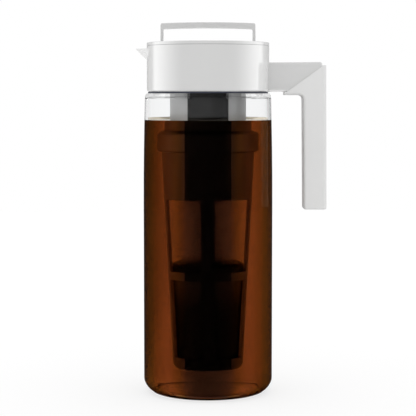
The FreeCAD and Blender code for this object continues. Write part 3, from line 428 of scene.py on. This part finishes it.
class Finish(Wiring):
    """The wiring of a new material, with plain values on its shader's own sockets."""

    def __init__(self, name, **values):
        self.material = bpy.data.materials.new(name)
        self.material.use_nodes = True
        super().__init__(self.material.node_tree)
        self.shader = self.nodes["Principled BSDF"]
        self.shade(**values)

    def shade(self, **values):
        """Feeds the shader's sockets by name."""
        self.feed_named(self.shader, values)


def new_group(name, inputs, outputs):
    """An empty node group of numbers: its wiring, its inputs' values and the sockets for its outputs."""
    tree = bpy.data.node_groups.new(name, "ShaderNodeTree")
    for label, value in inputs.items():
        tree.interface.new_socket(label, in_out="INPUT", socket_type="NodeSocketFloat").default_value = value
    for label in outputs:
        tree.interface.new_socket(label, in_out="OUTPUT", socket_type="NodeSocketFloat")
    return Wiring(tree), tree.nodes.new("NodeGroupInput").outputs, tree.nodes.new("NodeGroupOutput").inputs


def moulded_skin_group():
    """Moulded plastic or rubber: a fine grain in Height, and slow cloudy drift and rub in Roughness."""
    wiring, given, result = new_group("moulded_skin", {"Grain Scale": 2500.0, "Roughness": 0.3, "Rub": 0.05},
                                      ("Roughness", "Height", "Cloud"))
    point = wiring.point()
    cloud = wiring.noise(point, scale=35.0)
    rub = wiring.product(wiring.math("SUBTRACT", cloud, 0.5), given["Rub"])
    wiring.feed(result["Roughness"], wiring.math("ADD", given["Roughness"], rub))
    wiring.feed(result["Height"], wiring.noise(point, given["Grain Scale"], detail=3.0))
    wiring.feed(result["Cloud"], cloud)
    return wiring.tree


def woven_mesh_group():
    """Filter cloth round the Z axis: round threads cross at Pitch along the turn and along the height.
    Thread is 1 on a thread and 0 in a hole, and Height is the threads' rounded relief."""
    wiring, given, result = new_group("woven_mesh", {"Pitch": 0.0006, "Radius": 0.030, "Thread": 0.4},
                                      ("Thread", "Height"))
    x, y, z = wiring.parts(wiring.point())
    along = wiring.product(wiring.math("ARCTAN2", y, x), given["Radius"])
    reliefs = []
    for distance in (along, z):
        steps = wiring.math("DIVIDE", distance, given["Pitch"])
        wave = wiring.math("SINE", wiring.product(steps, math.pi))
        reliefs.append(wiring.math("ABSOLUTE", wave))
    height = wiring.math("MAXIMUM", *reliefs)
    wiring.feed(result["Thread"], wiring.math("GREATER_THAN", height, wiring.one_less(given["Thread"])))
    wiring.feed(result["Height"], height)
    return wiring.tree


# ---------------------------------------------------------------- finishes

def moulded(name, colour, cloud, grain, depth, roughness, rub, **values):
    """Moulded plastic or rubber: its colour drifts a little to a second one in clouds, over the shared
    skin with a grain of its own scale and depth."""
    finish = Finish(name, **values)
    skin = finish.placed(MOULDED_SKIN, Grain_Scale=grain, Roughness=roughness, Rub=rub)
    finish.shade(Base_Color=finish.mix_colour(skin["Cloud"], colour, cloud), Roughness=skin["Roughness"],
                 Normal=finish.relief(skin["Height"], depth, strength=0.6))
    return finish.material


def white_plastic():
    """Satin white moulding of the collar, arm, lid, sleeve and bail."""
    return moulded("white_plastic", (0.812, 0.812, 0.808), (0.797, 0.797, 0.793),
                   grain=1800.0, depth=0.00001, roughness=0.16, rub=0.06,
                   Specular_IOR_Level=0.2, Coat_Weight=1.0, Coat_IOR=2.6, Coat_Roughness=0.08)


def grip_rubber():
    """Soft white over-moulding of the grip, duller than the collar."""
    return moulded("grip_rubber", (0.760, 0.760, 0.756), (0.742, 0.742, 0.738),
                   grain=2600.0, depth=0.00002, roughness=0.62, rub=0.10,
                   Specular_IOR_Level=0.3, Sheen_Weight=0.3, Sheen_Roughness=0.4)


def seal_rubber():
    """Dark blue-grey seals."""
    return moulded("seal_rubber", (0.045, 0.050, 0.075), (0.035, 0.040, 0.060),
                   grain=3000.0, depth=0.00001, roughness=0.5, rub=0.1, Specular_IOR_Level=0.3)


def clear_jug():
    """Clear polished wall with faint clouds in its tint. Where coffee wets its inner face, that face
    can't be seen: the distance from the foot's own centre tells it from the outer face. The round of
    the foot is as clear as the wet wall, and the last millimetres under the collar fade, so that the
    neck behind them doesn't show magnified there."""
    finish = Finish("clear_jug", Transmission_Weight=1.0, IOR=1.14, Roughness=0.0, Metallic=0.0,
                    Specular_Tint=(0, 0, 0))
    point = finish.point()
    radius, height = finish.polar(point)
    out = finish.math("SUBTRACT", radius, JUG_RADIUS - FOOT_ROUND, clamp=True)
    down = finish.math("SUBTRACT", FOOT_ROUND, height, clamp=True)
    reach = finish.math("SQRT", finish.math("ADD", finish.product(out, out), finish.product(down, down)))
    inner = finish.math("LESS_THAN", reach, FOOT_ROUND - INNER_FACE_SHARE * JUG_WALL)
    under = finish.math("LESS_THAN", height, COFFEE_LEVEL)
    dry = finish.one_less(finish.product(inner, under))
    rim = finish.ease(height, *JUG_RIM)
    top = finish.math("MAXIMUM", finish.ease(height, *JUG_TOP_FADE), rim)
    recess = finish.math("LESS_THAN", height, FOOT_RECESS + HAIR)
    foot = finish.math("MAXIMUM", finish.ease(height, *JUG_FOOT_FADE), recess)
    lit = finish.one_less(finish.light_path("Is Shadow Ray"))
    clear = finish.mix_colour(finish.noise(point, scale=12.0), (0.992, 0.995, 0.995), (0.985, 0.990, 0.992))
    finish.shade(Base_Color=finish.mix_colour(rim, clear, GASKET_IN_RIM),
                 Alpha=finish.product(dry, lit, finish.product(foot, top)))
    return finish.material


def shown_through(tint):
    """The base colour that makes a clear surface tint what shows through it: the tint's square, because
    a clear surface passes the root of its base colour."""
    return tuple(value ** 2 for value in tint)


def coffee_liquid():
    """Clear brown coffee: it absorbs blue and green most, and where light first enters it, it is tinted
    by how far its wall turns away from the camera, with painted light and shade: brighter bands to each
    side, painted darker straight on and at its edges, and painted shade darkest in the foot. The tint
    and its painted light are fitted to one view, and move with the camera."""
    finish = Finish("coffee", Transmission_Weight=1.0, IOR=1.005, Roughness=0.0, Metallic=0.0,
                    Specular_Tint=(0, 0, 0))
    point = finish.point()
    # Painted light and shade: the coffee's colour by view, brighter bands to each side, darker straight on
    # and at the edges.
    depth = finish.node("ValToRGB", Fac=finish.side_on(point))
    stops = depth.color_ramp.elements
    for share, tint in COFFEE_TINT_AND_PAINTED_LIGHT[1:-1]:
        stops.new(1 - math.sqrt(1 - share ** 2)).color = (*shown_through(tint), 1)
    for end in (0, -1):
        stops[end].color = (*shown_through(COFFEE_TINT_AND_PAINTED_LIGHT[end][1]), 1)
    # Painted shade: darker coffee colour in the foot.
    foot = finish.ease(finish.polar(point)[1], *FOOT_PAINTED_SHADE_TOP)
    tint = finish.mix_colour(foot, depth.outputs[0], shown_through(FOOT_PAINTED_SHADE))
    bounced = finish.math("GREATER_THAN", finish.light_path("Ray Depth"), 1.5)
    plain = finish.math("MAXIMUM", finish.backfacing(), bounced)
    finish.shade(Base_Color=finish.mix_colour(plain, tint, (1, 1, 1)))
    absorption = finish.node("VolumeAbsorption", Color=COFFEE_ABSORBS, Density=COFFEE_DENSITY)
    finish.feed(finish.nodes["Material Output"].inputs["Volume"], absorption.outputs["Volume"])
    return finish.material


def coffee_froth():
    """Tan froth. Its film on the wall is seen only from inside the jug, on the far wall."""
    finish = Finish("coffee_froth", Roughness=0.15, Metallic=0.85)
    point = finish.point()
    radius, height = finish.polar(point)
    bubbles = finish.noise(point, scale=700.0, detail=3.0)
    inside = finish.math("LESS_THAN", radius, froth_radius() - FROTH_FILM / 2)
    above = finish.math("GREATER_THAN", height, COFFEE_LEVEL + FROTH_THICK / 2)
    finish.shade(Base_Color=finish.mix_colour(bubbles, (1.0, 0.92, 0.76), (0.97, 0.88, 0.72)),
                 Alpha=finish.product(inside, above, finish.one_less(finish.backfacing())),
                 Normal=finish.relief(bubbles, depth=0.00005, strength=0.3))
    return finish.material


def dark_plastic():
    """Polished smoke-black plastic: black straight on, and past a fixed reach to each side a soft
    mirror with a painted sheen, painted grey where it is dry and brown in the coffee. The reach is
    r sin a, where a is the turn from the camera, so the painted grey sides move with the camera."""
    finish = Finish("dark_plastic", Specular_IOR_Level=0.44)
    skin = finish.placed(MOULDED_SKIN, Grain_Scale=1500.0, Roughness=0.12, Rub=0.06)
    point = finish.point()
    radius, height = finish.polar(point)
    turn = finish.side_on(point)
    sine = finish.math("SQRT", finish.product(turn, finish.math("SUBTRACT", 2.0, turn)))
    # Painted reflection: the sides past the reach take a painted grey or brown, placed by the camera's view.
    side = finish.ease(finish.product(radius, sine), *PAINTED_SHEEN_REACH)
    wet = finish.ease(height, *WET_LINE)
    black = finish.mix_colour(wet, finish.mix_colour(skin["Cloud"], SMOKE_DRY, SMOKE_CLOUD), SMOKE_WET)
    painted_sheen = finish.mix_colour(wet, PAINTED_SHEEN_DRY, PAINTED_SHEEN_WET)
    soft = finish.product(side, PAINTED_SHEEN_SOFTNESS)
    finish.shade(Base_Color=finish.mix_colour(side, black, painted_sheen), Metallic=finish.math("MAXIMUM", side, wet),
                 Roughness=finish.math("ADD", skin["Roughness"], soft))
    return finish.material


def filter_mesh():
    """Fine woven filter cloth, so open that it hardly tints what is behind it."""
    finish = Finish("filter_mesh", Base_Color=(0.02, 0.014, 0.01), Roughness=0.4, Specular_IOR_Level=0.3)
    weave = finish.placed(WOVEN_MESH, Pitch=MESH_PITCH, Radius=MESH_RADIUS, Thread=MESH_THREAD)
    finish.shade(Alpha=finish.product(weave["Thread"], MESH_SHOWS),
                 Normal=finish.relief(weave["Height"], depth=0.00005, strength=0.8))
    return finish.material


def pin_steel():
    """Bright drawn wire of the bail's pins."""
    finish = Finish("pin_steel", Metallic=1.0)
    skin = finish.placed(MOULDED_SKIN, Grain_Scale=5000.0, Roughness=0.25, Rub=0.1)
    finish.shade(Base_Color=finish.mix_colour(skin["Cloud"], (0.62, 0.62, 0.63), (0.55, 0.55, 0.56)),
                 Roughness=skin["Roughness"])
    return finish.material


def wet_grounds():
    """Coarse wet coffee grounds: near black, with browner grains and wet glints."""
    finish = Finish("coffee_grounds", Specular_IOR_Level=0.3)
    point = finish.point()
    height = finish.polar(point)[1]
    grains = finish.noise(point, scale=900.0, detail=4.0)
    pale = finish.product(finish.ease(height, *GROUNDS_PALER), finish.ease(height, *GROUNDS_DARKER))
    dark = finish.mix_colour(pale, (0.006, 0.004, 0.003), (0.110, 0.090, 0.080))
    light = finish.mix_colour(pale, (0.035, 0.028, 0.022), (0.270, 0.230, 0.200))
    ragged = finish.math("ADD", height, finish.product(grains, GROUNDS_RAGGED))
    finish.shade(Base_Color=finish.mix_colour(finish.ease(grains, 0.45, 0.75, 0.0, 1.0), dark, light),
                 Alpha=finish.ease(ragged, *GROUNDS_FADE),
                 Roughness=finish.ease(grains, 0.3, 0.7, 0.35, 0.8),
                 Normal=finish.relief(grains, depth=0.0006, strength=0.8))
    return finish.material


# ---------------------------------------------------------------- room

def make_world():
    """A plain soft white studio. The camera sees plain white, and clear things see it a little darker
    on the handle's side. Gloss sees a tall soft light at each side and a narrow one behind, and a
    sharp mirror sees almost nothing. Matt things are lit evenly, a little more from above."""
    world = bpy.data.worlds.new("studio")
    bpy.context.scene.world = world
    world.use_nodes = True
    wiring = Wiring(world.node_tree)
    x, y, z = wiring.parts(wiring.node("TexCoord").outputs["Generated"])
    turn = wiring.math("ARCTAN2", wiring.math("ABSOLUTE", x), y)
    sides = wiring.product(wiring.ease(turn, *SIDE_LIGHT_FAR_EDGE), wiring.ease(turn, *SIDE_LIGHT_NEAR_EDGE),
                           wiring.ease(z, *LIGHTS_TOP))
    lights = wiring.math("MAXIMUM", sides, wiring.ease(turn, *BACK_LIGHT_EDGE))
    soft = wiring.one_less(wiring.light_path("Is Singular Ray"))
    gloss = wiring.math("MAXIMUM", wiring.product(wiring.math("MAXIMUM", lights, GLOSS_LEAST), soft),
                        MIRROR_LEVEL)
    light = wiring.ease(z, *MATT_BY_HEIGHT)
    light = wiring.mix_number(wiring.light_path("Is Glossy Ray"), light, gloss)
    light = wiring.mix_number(wiring.light_path("Is Transmission Ray"), light, wiring.ease(x, *ROOM_THROUGH))
    light = wiring.mix_number(wiring.light_path("Is Camera Ray"), light, 1.0)
    wiring.feed(wiring.nodes["Background"].inputs["Color"], light)
    wiring.feed(wiring.nodes["Background"].inputs["Strength"], 1.0)


def make_floor():
    """A plain white floor. To the camera it is mostly its own white, so that its shadow stays soft. To
    clear things its glow has painted shade, darker on the handle's side, by x / (|y| + start), and a
    sharp mirror sees almost nothing."""
    size = FLOOR_HALF_SIZE
    points = np.array([(-size, -size, FLOOR_LEVEL), (size, -size, FLOOR_LEVEL),
                       (size, size, FLOOR_LEVEL), (-size, size, FLOOR_LEVEL)], float)
    floor = mesh_object("floor", points, [(0, 1, 2, 3)])
    finish = Finish("floor_white", Base_Color=(0.95, 0.95, 0.95), Roughness=0.9, Specular_IOR_Level=0.0)
    seen = finish.light_path("Is Camera Ray")
    through = finish.light_path("Is Transmission Ray")
    x, y = finish.parts(finish.point())[:2]
    # Painted shade: the floor's glow, as clear things see it, is darker on the handle's side.
    slant = finish.math("DIVIDE", x, finish.math("ADD", finish.math("ABSOLUTE", y), FLOOR_SIDE_START))
    white = finish.math("ADD", finish.product(through, finish.ease(slant, *FLOOR_THROUGH_PAINTED_SHADE)),
                        finish.product(seen, FLOOR_WHITE))
    share = finish.math("MAXIMUM", finish.product(seen, FLOOR_SHARE_SEEN),
                        finish.product(through, FLOOR_SHARE_THROUGH))
    glow = finish.node("Emission", Strength=white).outputs[0]
    plain = finish.mix_shader(share, finish.shader.outputs[0], glow)
    mirrored = finish.product(finish.light_path("Is Singular Ray"), finish.one_less(through))
    unlit = finish.node("Emission", Strength=MIRROR_LEVEL).outputs[0]
    finish.feed(finish.nodes["Material Output"].inputs["Surface"], finish.mix_shader(mirrored, plain, unlit))
    floor.data.materials.append(finish.material)


def make_camera():
    """In front, with the spout to the left: a little below the collar, tilted down to the middle."""
    data = bpy.data.cameras.new("camera")
    data.sensor_width = SENSOR_WIDTH
    data.lens = CAMERA_LENS
    data.clip_start = 0.01
    camera = bpy.data.objects.new("camera", data)
    camera.location = (0, -CAMERA_DISTANCE, CAMERA_HEIGHT)
    camera.rotation_euler = (math.pi / 2 - CAMERA_TILT_DOWN, 0, 0)
    bpy.context.scene.collection.objects.link(camera)
    bpy.context.scene.camera = camera


# ---------------------------------------------------------------- the object

MOULDED_SKIN = moulded_skin_group()
WOVEN_MESH = woven_mesh_group()

finishes = {
    "clear_jug": clear_jug(),
    "white_plastic": white_plastic(),
    "grip_rubber": grip_rubber(),
    "dark_plastic": dark_plastic(),
    "seal_rubber": seal_rubber(),
    "filter_mesh": filter_mesh(),
    "pin_steel": pin_steel(),
    "coffee": coffee_liquid(),
    "coffee_grounds": wet_grounds(),
}

for part in frame["record"]["subparts"]:
    node = frame["nodes"][part["node"]]
    node.data.materials.clear()
    node.data.materials.append(finishes[part["material_slot"]])

coffee = make_coffee()
coffee.data.materials.append(finishes["coffee"])
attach(coffee, "jug")
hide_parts("coffee_fill")

grounds = make_grounds()
grounds.data.materials.append(finishes["coffee_grounds"])
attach(grounds, "basket")
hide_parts("coffee_grounds")

froth = make_froth()
froth.data.materials.append(coffee_froth())
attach(froth, "jug")

make_world()
make_floor()
make_camera()
bpy.context.scene.view_settings.view_transform = "Standard"
